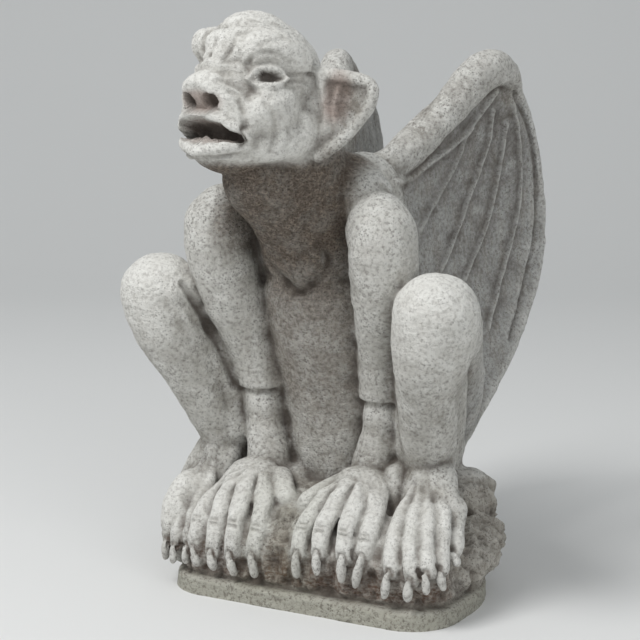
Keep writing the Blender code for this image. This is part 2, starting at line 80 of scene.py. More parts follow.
def limb(rows, side=(1, 0, 0), steps=40, around=28, blunt=None):
    """A rounded limb: an ellipse swept along a curve, closed at both ends by quarter ellipses, the last one
    of length blunt. Each row is x, y, z, half width along side, half depth across it."""
    rows = through(rows, steps)
    spine, wide, deep = rows[:, :3], rows[:, 3], rows[:, 4]
    along = unit(np.gradient(spine, axis=0))
    side = unit(side - along * (along @ np.asarray(side, float))[:, None])
    across = np.cross(along, side)
    travel = np.concatenate([[0], np.cumsum(np.linalg.norm(np.diff(spine, axis=0), axis=1))])
    to_end = np.minimum(travel, travel[-1] - travel)
    cap = np.where(travel < travel[-1] / 2, deep[0], min(deep[-1], blunt or deep[-1]))
    cap = np.minimum(cap, travel[-1] / 2)
    closing = np.sqrt(1 - (1 - np.minimum(to_end / cap, 1)) ** 2)
    angle = np.linspace(0, 2 * np.pi, around, endpoint=False)[None, :, None]
    offset = side[:, None] * (wide * closing)[:, None, None] * np.cos(angle)
    offset = offset + across[:, None] * (deep * closing)[:, None, None] * np.sin(angle)
    return skin(spine[:, None] + offset)


def ball(centre, radii, steps=24, around=32):
    """An ellipsoid with its axes along x, y and z, from two angles."""
    polar = np.linspace(0, np.pi, steps)[:, None]
    angle = np.linspace(0, 2 * np.pi, around, endpoint=False)[None, :]
    shape = [np.sin(polar) * np.cos(angle), np.sin(polar) * np.sin(angle), np.cos(polar) + 0 * angle]
    return skin(np.asarray(centre, float) + np.stack(shape, -1) * np.asarray(radii, float))


def both_sides(shells):
    """The shells and their mirror images across x = 0."""
    return shells + [(points * (-1, 1, 1), [face[::-1] for face in faces]) for points, faces in shells]


def mirrored(lines):
    """Folds and their mirror images across x = 0."""
    return [(np.array(line, float) * (side, 1, 1), *size) for line, *size in lines for side in (1, -1)]


masses = [
    limb([(0, 62, 30, 40, 34), (0, 58, 78, 46, 44), (0, 48, 120, 44, 44), (0, 34, 160, 43, 42),
          (0, 14, 200, 47, 38), (0, -6, 232, 42, 32), (0, -16, 252, 30, 24)], around=36),
    limb([(0, 26, 40, 30, 22), (0, 25, 80, 33, 25), (0, 18, 120, 35, 26), (0, 6, 160, 36, 28),
          (0, -8, 200, 33, 25)]),
    ball((0, -7, 206), (34, 24, 34)),
    limb([(0, 8, 190, 33, 30), (0, -2, 212, 34, 35), (-3, -20, 238, 34, 33), (-8, -32, 262, 34, 33),
          (-10, -36, 296, 28, 28)]),
    limb([(-1, -12, 190, 20, 14), (-2, -28, 216, 20, 17), (-7, -44, 238, 24, 20), (-18, -62, 258, 22, 20)]),
] + both_sides([
    ball((16, 22, 228), (24, 24, 28)),
    ball((52, -24, 215), (19, 19, 23)),
    limb([(8, 4, 246, 20, 20), (28, -8, 236, 18, 18), (50, -20, 222, 16, 17)], side=(0, 1, 0)),
])
chest_edge = [(-17.5, -33, 208), (-21, -27, 197.5), (-15.5, -26, 187.5), (-6, -26, 181), (3, -26, 177)]
chest_swell = [(-14, -36, 212), (-15, -31, 203), (-10, -30, 194), (-2, -30, 187)]
folds = mirrored([(chest_edge, 4.0, -2.0), (chest_swell, 8.0, 1.6)])

# Arms
# Straight arms stand between the knees. Each upper arm is thicker than the forearm and ends over it in a
# short rounded step at the elbow, with a groove under it.

masses += both_sides([
    limb([(54, -23, 234, 16, 16), (55, -25, 208, 19, 21), (52, -17, 178, 18.5, 20), (46, -3, 148, 17, 18),
          (42.5, 2, 126, 15.5, 15.5), (41.5, 3, 111, 14.5, 14)], blunt=6),
    limb([(43, 5, 140, 12, 12), (42, 4, 115, 12.5, 12.5), (39, 2, 92, 12, 12), (35, -1, 70, 13.5, 12),
          (35, -3, 54, 15, 12)]),
])
elbow_groove = [(30, -2, 114), (35, -8, 113.5), (42, -10.5, 113), (49, -8, 113.5), (54, -2, 114)]
forearm_dip = [(27, 6, 95), (33, -7, 97), (40, -9, 98), (47, -7, 98)]
folds += mirrored([(elbow_groove, 3.0, -1.8), (forearm_dip, 9.0, -0.8)])

# Hands
# They drape over the front of the rock: a flat back with raised tendons, four fingers side by side, each with
# two short creases over its joint, a thumb lying inwards, and a narrow nail at the end of each finger.


def finger(start, knuckle, middle, base, tip, thick):
    """A finger or toe and its nail: a swept tube up to the nail's base, and a thin one for the nail."""
    start, knuckle, middle, base, tip = np.array([start, knuckle, middle, base, tip], float)
    beyond = base + 0.3 * (tip - base) + (0, 2.5, 0)
    bone = limb([(*start, 0.8 * thick, 0.7 * thick), (*knuckle, 1.08 * thick, thick), (*middle, thick, thick),
                 (*base, 0.94 * thick, 0.94 * thick), (*beyond, 0.8 * thick, 0.7 * thick)],
                steps=34, around=20, blunt=4)
    top, half = base + (0, -3.2, 0.5), (base + tip) / 2 + (0, -3.2, 0)
    nail = limb([(*top, 2.5, 2.6), (*half, 2.6, 3.0), (*(tip + (0, -0.6, 0)), 1.7, 2.6)], steps=24, around=16)
    return [bone], [nail]


def hand(wrist, knuckles, middles, bases, tips, thumb):
    """The back of the hand as a wide swept oval, then four fingers, and the thumb as a tapering tube."""
    wrist, centre = np.array(wrist, float), np.mean(knuckles, axis=0)
    shells = [limb([(*wrist, 15, 10), (*((wrist + centre) / 2 + (0, 1, 2)), 18, 9),
                    (*(centre + (0, 4, -3)), 21, 6), (*(centre + (0, -3, -14)), 21, 4)], steps=30)]
    nails = []
    for place in zip(knuckles, middles, bases, tips):
        start = 0.6 * wrist + 0.4 * np.array(place[0], float) + (0, -2, 4)
        bones, claws = finger(start, *place, 5.7)
        shells += bones
        nails += claws
    widths = ((10, 8), (8, 7), (6.5, 6), (5.5, 5))
    shells.append(limb([(*point, *width) for point, width in zip(thumb, widths)], steps=24, around=18))
    return shells, nails


right_middles = [(-56, -43, 42), (-42, -46, 43), (-29, -47, 44), (-14, -45, 43)]
left_middles = [(17, -45, 48), (30, -48, 49), (45, -48, 49), (57, -45, 47)]
right_hand, right_nails = hand(
    (-35, -3, 67),
    [(-54, -29, 53), (-43, -33, 57), (-31, -34, 59), (-19, -32, 57)],
    right_middles,
    [(-55.5, -49, 26), (-42, -51, 26), (-29, -51, 26.5), (-14.5, -50, 28)],
    [(-51, -53, 15.5), (-39, -54, 15), (-25, -54, 14), (-11, -54, 15)],
    [(-27, -8, 65), (-16, -18, 62), (-8, -26, 58), (-2, -31, 55)],
)
left_hand, left_nails = hand(
    (36, -3, 69),
    [(23, -31, 61), (33, -34, 63), (44, -34, 62), (54, -31, 60)],
    left_middles,
    [(15.7, -50, 33), (29.5, -51, 35.5), (46, -51, 35.5), (57, -49, 37)],
    [(16.5, -54, 19), (30.5, -55, 23), (46, -55, 21), (54, -54, 19)],
    [(30, -9, 67), (19, -19, 63), (10, -27, 58), (4, -32, 54)],
)
hands = right_hand + left_hand
tendons = [
    [(-37, -25, 70), (-44, -28, 65), (-53, -30, 58)],
    [(-33, -25, 70), (-37, -30, 66), (-42, -35, 60)],
    [(-30, -25, 69), (-30, -31, 64), (-31, -36, 60)],
    [(-27, -24, 68), (-23, -29, 63), (-20, -34, 59)],
    [(33, -26, 71), (27, -29, 68), (22, -33, 63)],
    [(37, -27, 71), (35, -32, 68), (33, -37, 64)],
    [(41, -27, 71), (43, -32, 68), (44, -37, 63)],
    [(45, -26, 70), (50, -30, 66), (54, -34, 61)],
]
folds += [(line, 3.0, height) for line, height in zip(tendons, 2 * (1.4, 1.4, 1.4, 1.3))]
crease = np.array([(-2.3, -4.9, 0), (-1, -5.5, 0.4), (1, -5.5, 0.4), (2.3, -4.9, 0)])
for joint in np.array(right_middles + left_middles, float):
    folds += [(joint + crease + (0, 0, lift), 1.4, -1.4) for lift in (1.9, -1.3)]

# Legs
# The knees are raised and spread, the shins come down in front, and the thighs fold back onto the rock. A
# groove runs down inside the right shin.

masses += both_sides([
    ball((91, -31, 172), (24.5, 24.5, 24)),
    limb([(91, -31, 196, 20, 20), (91, -31, 172, 24, 24), (86, -26, 150, 22, 23.5),
          (79, -16, 126, 17.5, 19.5), (74, -5, 103, 16, 17), (70, 4, 84, 15, 16), (69, 8, 60, 15, 17)]),
    limb([(80, -8, 172, 20, 22), (73, -2, 140, 19, 22), (66, 6, 110, 17, 19), (60, 10, 74, 15, 18)]),
    limb([(91, -36, 172, 20, 22), (79, -4, 161, 24, 25), (57, 32, 143, 26, 30), (40, 62, 112, 26, 34),
          (36, 70, 70, 22, 26)], side=(0, 0, 1)),
    limb([(74, 0, 148, 20, 20), (62, 20, 118, 22, 22), (48, 42, 84, 24, 24), (42, 52, 50, 22, 22)]),
    ball((66, 14, 58), (16, 20, 22)),
])
shin_groove = [(-70, -40, 179.5), (-67, -34.5, 170), (-64, -26, 157), (-60.5, -18.5, 141), (-57, -13.5, 128),
               (-54.5, -8.5, 115.5)]
shin_ridge = [(-76, -44, 174), (-73, -38, 160), (-69, -30, 145)]
folds += [(shin_groove, 3.4, -2.2), (shin_ridge, 4.0, 1.2)]

# Feet
# The insteps drape over the rock as the hands do. The toes are long ridges that fan out from the ankle, each
# ending in a nail. The right foot is half sunk in a smooth mass. A groove runs around the root of every nail.


def foot(ankle, middles, bends, bases, tips):
    """The instep as a wide swept oval, and five toes, each a tube that starts as a thin cord at the ankle."""
    ankle, front = np.array(ankle, float), np.mean(middles, axis=0)
    shells = [limb([(*(ankle + (0, 6, 2)), 15, 14), (*((ankle + front) / 2 + (0, 2, -3)), 17, 9),
                    (*(front + (0, 4, -9)), 19, 6), (*(front + (2, -4, -22)), 18, 4)], steps=30)]
    nails = []
    for middle, bend, base, tip in zip(np.array(middles, float), bends, bases, tips):
        cord_start = 0.85 * ankle + 0.15 * middle + (0, -8, 2)
        shells.append(limb([(*cord_start, 2.6, 3), (*((ankle + middle) / 2), 3, 4),
                            (*(middle + (0, 1, 0)), 4.3, 4.6)], steps=24, around=16))
        bones, claws = finger(0.3 * ankle + 0.7 * middle, middle, bend, base, tip, 4.9)
        shells += bones
        nails += claws
    return shells, nails


left_foot, left_claws = foot(
    (71, 0, 80),
    [(70, -29, 57), (79, -32, 57), (86, -30, 57), (92, -23, 58), (95, -10, 60)],
    [(73, -46, 43), (84, -46, 42), (92, -42, 43), (97, -34, 44), (99, -20, 49)],
    [(75.6, -52, 32), (88, -51, 29), (96, -47, 33), (100, -39, 34), (102, -25, 41)],
    [(73.5, -56, 16.5), (87.5, -55, 17), (97.5, -51, 21), (104, -43, 22), (106, -29, 33)],
)
right_foot, right_claws = foot(
    (-69, 2, 80),
    [(-64, -26, 54), (-71, -27, 54), (-77, -24, 55), (-81, -16, 56), (-83, -5, 60)],
    [(-64, -40, 39), (-72, -40, 38), (-79, -36, 39), (-84, -27, 40), (-86, -14, 44)],
    [(-62, -46, 26), (-71, -46, 25), (-79, -42, 26), (-84, -33, 28), (-87, -21, 33)],
    [(-61, -51, 15), (-70, -51, 14), (-79, -46, 14), (-85, -36, 16), (-89, -25, 22)],
)
feet = left_foot + right_foot
masses.append(ball((-78, -19, 34), (15.5, 27, 30)))
nails = right_nails + left_nails + left_claws + right_claws
cuticle = np.array([(-3.3, -0.8, -3.5), (-3, -1.8, -0.5), (-1.6, -2.8, 1.9), (1.6, -2.8, 1.9),
                    (3, -1.8, -0.5), (3.3, -0.8, -3.5)])
folds += [(nail_points[0] + cuticle, 1.3, -1.1) for nail_points, _ in nails]

# Wings
# Bat wings raised behind the back: a thick arm along the top, a rolled rim down the free edge, and a hollow
# skin between them and the body. Thin ribs fan out over the skin's outer side from the top of the arm.


def sheet(front, thick):
    """A closed sheet: a grid of points made thick across itself by its own normals, walled around its rim."""
    down, over = np.gradient(front, axis=0), np.gradient(front, axis=1)
    across = unit(np.cross(down, over)) * thick[..., None] / 2
    rows, columns = front.shape[:2]
    points = np.vstack([(front + across).reshape(-1, 3), (front - across).reshape(-1, 3)])
    index = np.arange(rows * columns).reshape(rows, columns)
    quads = np.stack([index[:-1, :-1], index[1:, :-1], index[1:, 1:], index[:-1, 1:]], -1).reshape(-1, 4)
    rim = np.concatenate([index[0, :-1], index[:-1, -1], index[-1, :0:-1], index[:0:-1, 0]])
    after, half = np.roll(rim, -1), rows * columns
    walls = np.stack([rim, after, after + half, rim + half], -1)
    return points, [tuple(quad) for quad in np.vstack([quads, quads[:, ::-1] + half, walls])]


wing_rows, wing_columns = 70, 40
wing_root = through([(14, 34, 246), (20, 32, 215), (30, 34, 175), (42, 36, 130), (46, 36, 84)], wing_rows)
wing_edge = through([(54, 116, 308), (56, 138, 300), (57, 164, 278), (58, 181, 248), (60, 188, 203),
                     (60, 180, 166), (60, 160, 141), (60, 134, 120), (60, 106, 101), (60, 80, 86),
                     (60, 56, 70)], wing_rows)
wing_out = np.linspace(0, 1, wing_columns)[None, :, None]
wing_skin = wing_root[:, None] * (1 - wing_out) + wing_edge[:, None] * wing_out
wing_skin = wing_skin + 7 * np.sin(np.pi * wing_out) * unit((-0.9, 0.35, 0))
rim_line = wing_skin[4:-2:9, -2]
wings = both_sides([
    sheet(wing_skin, 11 - 4 * wing_out[..., 0] + np.zeros((wing_rows, 1))),
    limb([(8, 26, 236, 12, 12), (20, 50, 247, 10, 11), (30, 70, 260, 9, 9.5), (40, 89, 280, 10, 11),
          (49, 106, 298, 11, 13), (55, 119, 303, 10, 12), (57, 136, 298, 7, 8), (57, 150, 288, 4, 5)],
         side=(0.9, -0.45, 0)),
    limb([(*point, 5, 4) for point in rim_line], steps=60, around=16),
])
masses += wings
ribs = [
    [(50, 130, 276), (46, 130.5, 253.5), (41, 117.5, 226), (38, 101, 201), (36, 83, 181)],
    [(52, 145, 268), (48.5, 143, 239), (45.5, 134.5, 210), (43.5, 121, 190), (42, 106.5, 173)],
    [(54.5, 147, 280), (54.5, 157, 261), (54.5, 162, 238), (54, 161, 214), (52, 151, 187.5),
     (51, 135.5, 160), (52, 120, 140)],
]
rim_groove = [(58.5, 141, 288), (58, 161.5, 268.5), (59.5, 172.5, 244), (59.5, 177, 211), (59, 172.5, 185.5),
              (58.5, 156.5, 154.5), (60, 138, 132)]
inner_rib = [(41.5, 113.5, 266.5), (36.5, 103.5, 244), (33, 84.5, 223.5), (32, 65.5, 207)]
arm_edge = [(37.5, 22, 238.5), (27, 57.5, 238), (32, 83.5, 248), (38.5, 107, 260.5), (45.5, 119.5, 275),
            (52, 128, 288.5)]
folds += mirrored([(rib, 2.6, 2.0) for rib in ribs]
                  + [(rim_groove, 2.2, -1.6), (inner_rib, 2.4, 1.3), (arm_edge, 3.0, 2.0)])

# Head
# Drawn level as forward, left and up about its own centre, then tilted up and turned to the figure's right: a
# round skull, horn-like brow lumps, a broad nose cut flat below, an open down-turned mouth, wide leaf-shaped
# ears, raised eyelids, and folds over the brow, cheeks and nose, the same on both halves.

head_centre = np.array([-10.0, -40.0, 291.0])
head_turn, head_tilt = np.radians(18), np.radians(12)
head_level = np.array([-np.sin(head_turn), -np.cos(head_turn), 0])
head_forward = np.cos(head_tilt) * head_level + np.sin(head_tilt) * np.array([0, 0, 1])
head_left = np.array([np.cos(head_turn), -np.sin(head_turn), 0])
head_axes = np.array([head_forward, head_left, np.cross(head_forward, head_left)])


def faced(shells):
    """The head's shells in the figure's frame: its centre plus the drawn coordinates times its axes."""
    return [(head_centre + points @ head_axes, faces) for points, faces in shells]


def left_right(shells):
    """The shells and their mirror images across the head's middle plane."""
    return shells + [(points * (1, -1, 1), [face[::-1] for face in faces]) for points, faces in shells]


ear_front = through([(1, 31, 13), (0, 30, 2), (-1, 28, -11), (-1, 27, -23), (-2, 27, -34)], 30)
ear_rim = through([(-6, 42, 12.5), (-12, 52, 12), (-18, 60.5, 10.5), (-20, 62.5, 4), (-19, 58, -7),
                   (-17, 51, -17), (-14, 43, -26), (-10, 34, -34)], 30)
ear_out = np.linspace(0, 1, 20)[None, :, None]
ear_skin = ear_front[:, None] * (1 - ear_out) + ear_rim[:, None] * ear_out
ear_skin = ear_skin + 2 * np.sin(np.pi * ear_out) * np.array([-1.0, -0.3, 0])
ear_line = np.vstack([ear_skin[0, ::4], ear_rim[2::3]])

masses += faced([
    ball((7, 0, 4), (36, 34.5, 36)),
    ball((15, 0, 12), (28, 28, 31)),
    ball((13, 0, -10), (30, 34, 30)),
    ball((22, 0, -18), (27, 32, 22)),
    ball((22, 0, -30), (24, 27, 19)),
    ball((33, -17, 20), (10, 10.5, 10)),
    ball((30, 18, 18), (9.5, 12, 9)),
    limb([(31, -16, 20, 9, 9), (34, 0, 20, 9, 9), (30, 18, 19, 9, 9)], side=(0, 0, 1)),
    limb([(32, 0, 22, 12, 9), (36, 0, 10, 12, 10), (40, 0, -2, 15, 12)], side=(0, 1, 0)),
    ball((40.5, 0, -6), (14.5, 18, 11)),
] + left_right([
    limb([(-6, 28, -8, 13, 10), (0, 28, -22, 13, 10), (16, 22, -29, 12, 11), (27, 10, -33, 10, 9)],
         side=(0, 0, 1)),
    limb([(29, 12, 22, 9, 8), (28, 22, 22, 10, 8), (21, 29, 21, 10, 7), (11, 33, 18, 9, 5),
          (2, 34, 14, 8, 4)], side=(0, 0, 1)),
    ball((17, 27, -12), (17, 11, 16)),
    ball((37, 14, -10), (10, 10, 8.5)),
]))

upper_lip = [(27, -26, -31.5), (38, -23, -26), (45, -12, -20.5), (47.5, 0, -19.5)]
lower_lip = [(26, -25, -33.5), (37, -19, -35), (41, -9, -38), (42, 0, -39.5)]
lips = []
for half, thick in ((upper_lip, 3.0), (lower_lip, 4.0)):
    line = half + [(x, -y, z) for x, y, z in half[-2::-1]]
    widths = [2.0] + [thick] * (len(line) - 2) + [2.0]
    rows = [(*point, wide, wide) for point, wide in zip(line, widths)]
    lips.append(limb(rows, side=(0, 0, 1), steps=60, around=20))

face = faced(lips + left_right([
    sheet(ear_skin, 5.5 + np.zeros((30, 20))),
    limb([(*point, 4, 4) for point in ear_line], steps=60, around=16),
]))

# The nose's cut and the hollows: a centre, three radii and the way that they face or are pressed in.
nose_cut = ((48.5, 0, -12), (14, 26, 9), (0.8, 0, -0.6))
hollows = [((46, 0, -29), (16, 14, 7.5), (-1, 0, 0))]
for centre, radii, towards in (
    ((42, 11, -29), (15, 10, 6), (-1, 0, 0)),
    ((37, 20, -30.5), (9, 6, 3), (-1, 0, 0)),
    ((26.5, 29.5, 4.6), (7.5, 7.5, 5.2), (-0.75, -0.65, 0)),
    ((47, 9, -13), (6, 6, 5), (-0.8, 0, 0.6)),
):
    for mirror in ((1, 1, 1), (1, -1, 1)):
        hollows.append((np.multiply(centre, mirror), radii, np.multiply(towards, mirror)))

forehead = [
    ([(35.5, 7, 31.5), (30.5, 11.5, 34), (24, 16.5, 35), (15.5, 19.5, 34)], 1.8, -0.8),
    ([(37, 0, 29), (36, 8, 29.5), (31.5, 13.5, 31.5), (29, 24, 31), (22, 31, 29.5)], 1.8, -0.8),
    ([(37, 13, 26), (34, 20, 28.5), (29, 28, 28), (24, 33, 26)], 1.8, -0.7),
    ([(38, 12.5, 25.5), (40.5, 12.5, 20), (41.5, 11, 15), (42, 9, 11)], 2.2, -1.3),
    ([(43, 0, 22), (44.5, 1, 18), (46, 0, 12)], 1.8, -0.5),
    ([(38, 18.5, 22), (38, 17, 14), (36.5, 18, 9), (33, 22, 5)], 2.0, -0.8),
    ([(35, 20, 9), (35, 25, 14), (31, 29.5, 17), (26, 32.5, 17), (19, 35, 14.5)], 2.2, -1.0),
    ([(35.5, 27.5, 20), (31.5, 30, 22.5), (27, 32.5, 24), (23, 34, 25.5)], 1.7, -0.7),
]
eye = [
    ([(33, 21, 1.5), (31, 22.5, 6.5), (28.5, 26, 9.6), (25, 29.5, 10.4), (21, 32, 9), (17, 33.5, 5.5)],
     2.0, 2.2),
    ([(33, 21, 1.5), (31, 25.5, -1), (28, 29.5, -2), (24.5, 32, -1), (20.5, 33.5, 2), (17, 33.5, 5.5)],
     2.0, 2.2),
    ([(26, 27.5, 4.4), (25, 28.5, 4.2)], 5.5, 2.2),
    ([(17, 33.5, 7), (12, 35, 8.5), (7, 36, 9.5), (1, 35, 11)], 1.6, -1.0),
    ([(16, 33.8, 4.5), (10, 35, 5.5), (3.5, 35, 6)], 1.6, -1.0),
    ([(32.5, 24.5, -4), (30, 31, -6.5), (25, 35, -6.5), (17.5, 35.5, -3)], 2.4, -0.8),
]
cheek = [
    ([(43.5, 19.5, -6), (40.5, 23, -9), (38, 25, -13.5), (36.5, 27, -20.5), (36, 29, -28), (35, 28, -36)],
     2.6, -1.4),
    ([(40, 27, -9), (36, 30, -15), (33, 32, -22), (32, 32, -30)], 4.0, 0.7),
    ([(29.5, 34, -10.5), (25.5, 36, -15), (22, 35.5, -21), (19, 33, -27), (19, 31.5, -34)], 2.4, -1.1),
    ([(25, 36, -9), (19, 37.5, -13), (16, 36.5, -20), (14.5, 34.5, -28)], 4.0, 0.7),
    ([(21.5, 37.5, -15), (15, 37, -20), (11, 35, -25), (11, 33.5, -31)], 2.0, -0.6),
    ([(24.5, 36, -7.5), (18, 36.5, -4), (8, 35, -3), (-1, 33.5, -6)], 5.0, 0.8),
]
nose = [
    ([(45, 0, 12.5), (45.5, 5, 10), (41.5, 10.5, 9.5), (38.5, 15, 11)], 2.0, -0.9),
    ([(48, 0, 6), (47.5, 6, 5), (44, 12, 3)], 2.2, -0.7),
    ([(46, 12, -3), (43, 17, -1), (38, 22, -4)], 2.6, -1.0),
]
ear = [
    ([(-2, 38, 11), (-4, 39, 4.5), (-6, 40, -1.5), (-8, 41, -8), (-9, 41, -16)], 3.4, 2.0),
    ([(-9, 47, 6), (-9, 45.5, -1), (-9.5, 45.5, -7.5), (-11, 46, -12)], 2.6, 1.2),
]
chin = [
    ([(33, 14, -36), (37, 7, -35.5), (38, 0, -35)], 4.5, 2.6),
    ([(43, 9, -45), (44, 0, -46)], 2.4, -0.6),
]
folds += [
    (head_centre + (np.array(line, float) * (1, side, 1)) @ head_axes, *size)
    for line, *size in forehead + eye + cheek + nose + ear + chin for side in (1, -1)
]

# Rock and slab
# Weathered ground under the hands and feet, with rounded boulders at the figure's left, on a low slab with a
# straight front, rounded corners and an elliptic back. The slab's foot is flat.

slab_width, slab_depth, slab_corner, slab_sweep, slab_rounding = 181.0, 138.0, 28.0, 91.0, 3.0
figure_place = np.array([-13.5, -12.0, 0.5])


def slab_outline(inset, steps=14):
    """The slab's outline drawn in by inset: a straight front, two quarter circles, half an ellipse behind."""
    half, front = slab_width / 2 - inset, -slab_depth / 2 + inset
    side_end, radius = slab_depth / 2 - slab_sweep, max(slab_corner - inset, slab_rounding)
    turn, sweep = np.radians(np.linspace(-90, 0, steps)), np.radians(np.linspace(0, 180, 4 * steps))
    corner = np.stack([half - radius + radius * np.cos(turn), front + radius + radius * np.sin(turn)], -1)
    back = np.stack([half * np.cos(sweep), side_end + (slab_sweep - inset) * np.sin(sweep)], -1)
    return np.vstack([corner, back, corner[::-1] * (-1, 1)]) - figure_place[:2]


def stacked(levels, lumps=0.0):
    """The slab's outline stacked at pairs of height and inset, each ring pushed about by two waves."""
    rings = []
    for height, inset in levels:
        flat = slab_outline(inset)
        wave = np.sin(flat[:, 0] / 9 + height / 7) + np.sin(flat[:, 1] / 8 - height / 6)
        shift = lumps * wave * (height > 12)
        rings.append(np.column_stack([flat[:, 0] + shift, flat[:, 1] - shift, np.full(len(flat), height)]))
    ends = [np.tile(ring.mean(axis=0), (len(ring), 1)) for ring in (rings[0], rings[-1])]
    return skin(np.array([ends[0]] + rings + [ends[1]]))


rounding = np.radians(np.linspace(0, 90, 7))
lip = [(10 - slab_rounding * (1 - np.sin(a)), slab_rounding * (1 - np.cos(a))) for a in rounding]
slab = stacked([(-4, 60), (-4, 0), (2, 0)] + lip + [(10, 60)])
rock = stacked([(4, 45), (4, 9), (14, 5), (22, 5), (34, 7), (44, 11), (52, 20), (58, 37), (60, 64)], 1.6)
ground = [
    rock,
    ball((82, 20, 26), (23, 27, 20)),
    ball((88, 6, 22), (18, 16, 16)),
    ball((72, 50, 48), (18, 22, 20)),
    ball((78, 40, 28), (22, 24, 18)),
    ball((0, -12, 46), (30, 26, 15)),
    ball((60, -26, 40), (14, 18, 16)),
    ball((-64, -18, 40), (12, 18, 16)),
    ball((-74, -16, 24), (15, 24, 16)),
    ball((-21, 4, 50), (14, 18, 20)),
    ball((21, 4, 50), (14, 18, 20)),
    ball((54, -6, 56), (11, 14, 24)),
]

# Fusing
# The masses are fused and softened first, so that they run into each other as in carved clay. The hands,
# feet, face and slab are fused on with a finer grid and softened less, which keeps their edges.


def joined(shells):
    """All shells as one list of points and one of faces."""
    points, faces, start = [], [], 0
    for shell_points, shell_faces in shells:
        points.append(shell_points)
        faces += [tuple(int(corner) + start for corner in face) for face in shell_faces]
        start += len(shell_points)
    return np.vstack(points), faces


def evaluated(mesh, settings):
    """The mesh after a row of modifiers, each given as its type and its settings."""
    work = bpy.data.objects.new("work", mesh)
    bpy.context.scene.collection.objects.link(work)
    for kind, values in settings:
        modifier = work.modifiers.new(kind.lower(), kind)
        for name, value in values.items():
            setattr(modifier, name, value)
    bpy.context.view_layer.update()
    result = bpy.data.meshes.new_from_object(work.evaluated_get(bpy.context.evaluated_depsgraph_get()))
    bpy.data.objects.remove(work)
    return result


def fused(shells, grid, rounds):
    """The outer skin of all the shells on a grid of cubes, then smoothed that many rounds."""
    points, faces = joined(shells)
    mesh = bpy.data.meshes.new("shells")
    mesh.from_pydata(points.tolist(), [], faces)
    return evaluated(mesh, [("REMESH", {"mode": "VOXEL", "voxel_size": grid}),
                            ("SMOOTH", {"factor": 0.5, "iterations": rounds})])


def numbers(mesh):
    """The mesh's points and normals as arrays."""
    at = np.empty(len(mesh.vertices) * 3, np.float32)
    mesh.vertices.foreach_get("co", at)
    normals = np.empty(len(mesh.vertices) * 3, np.float32)
    mesh.vertex_normals.foreach_get("vector", normals)
    return at.reshape(-1, 3).astype(float), normals.reshape(-1, 3).astype(float)


def closeness(points, cloud, cell=2.0, rounds=2, full=0.25):
    """How near each point is to a cloud of points, 0 to 1: the cloud marks a grid of cubes, each round
    spreads the marks to the next cubes by weights 1, 2, 1 over 4, and a point reads its value between the
    eight cubes about it. Full is the value one cube beside a flat layer of marks, after two rounds."""
    low = np.minimum(points.min(axis=0), cloud.min(axis=0)) - 4 * cell
    high = np.maximum(points.max(axis=0), cloud.max(axis=0)) + 4 * cell
    marks = np.zeros(np.ceil((high - low) / cell).astype(int), np.float32)
    marks[tuple(((cloud - low) / cell).astype(int).T)] = 1
    for axis in [0, 1, 2] * rounds:
        marks = (np.roll(marks, 1, axis) + 2 * marks + np.roll(marks, -1, axis)) / 4
    spot = (points - low) / cell - 0.5
    corner = spot.astype(int)
    share = spot - corner
    value = np.zeros(len(points))
    for step in np.ndindex(2, 2, 2):
        weight = np.prod(np.where(step, share, 1 - share), axis=1)
        value += weight * marks[tuple((corner + step).T)]
    return np.clip(value / full, 0, 1)


fine_grid, body_rounds = ((0.8, 6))
body = fused(masses + ground, 2 * fine_grid, body_rounds)
body_points = numbers(body)[0]
body_faces = np.empty(len(body.loops), np.int32)
body.loops.foreach_get("vertex_index", body_faces)
body_shell = (body_points, body_faces.reshape(-1, 4).tolist())
carved = fused([body_shell] + hands + feet + nails + face + [slab], fine_grid, 2)
figure_cloud = numbers(fused(masses + hands + feet + nails, 2.0, 2))[0]

# Carving
# The nose is cut flat below, the mouth, eyes and nostrils are pressed in, and the folds are raised or cut.
# Then the rock is broken up into ridges, the slab's edge is chipped, and the rest gets low lumps.


def pressed(points, centre, radii, towards):
    """In the head's frame, what lies inside an ellipsoid moves along one direction onto its far side."""
    local = ((points - head_centre) @ head_axes.T - centre) / radii
    axis = unit(towards)
    way = axis / radii
    inside = (local**2).sum(1) < 1
    a, b, c = way @ way, local @ way, (local**2).sum(1) - 1
    travel = (-b + np.sqrt(np.maximum(b**2 - a * c, 0))) / a
    return points + np.where(inside, travel, 0)[:, None] * (axis @ head_axes)


def flattened(points, centre, radii, facing):
    """In the head's frame, what lies in an ellipsoid and beyond a plane through its centre moves onto it."""
    local, axis = (points - head_centre) @ head_axes.T - centre, unit(facing)
    inside = ((local / radii) ** 2).sum(1) < 1
    over = np.maximum(local @ axis, 0) * inside
    return points - over[:, None] * (axis @ head_axes)


def stroke(points, normals, line, width, height, reach=7.0, margin=3.0):
    """The skin raised along a line, or cut where height is negative: height (1 - d^2 / width^2)^2 along the
    normals, where d is the distance to the line measured across the normal, within reach of it. Only points
    in the line's box, made larger by width and margin, are looked at."""
    line = through(line, 8 * len(line))
    ahead = np.gradient(line, axis=0)
    half = np.linalg.norm(ahead, axis=1)
    low, high = line.min(axis=0) - width - margin, line.max(axis=0) + width + margin
    near = np.flatnonzero(((points > low) & (points < high)).all(1))
    away = points[near][:, None] - line
    sunk = np.einsum("ijk,ik->ij", away, normals[near])
    along = np.einsum("ijk,jk->ij", away, ahead / half[:, None])
    slide = np.clip(along, -0.6 * half, 0.6 * half)
    apart = (away**2).sum(2) - sunk**2 - slide * (2 * along - slide)
    apart = np.where(np.abs(sunk) < reach, apart, width**2).min(axis=1)
    fade = np.maximum(1 - np.maximum(apart, 0) / width**2, 0) ** 2
    moved = points.copy()
    moved[near] += normals[near] * (height * fade)[:, None]
    return moved


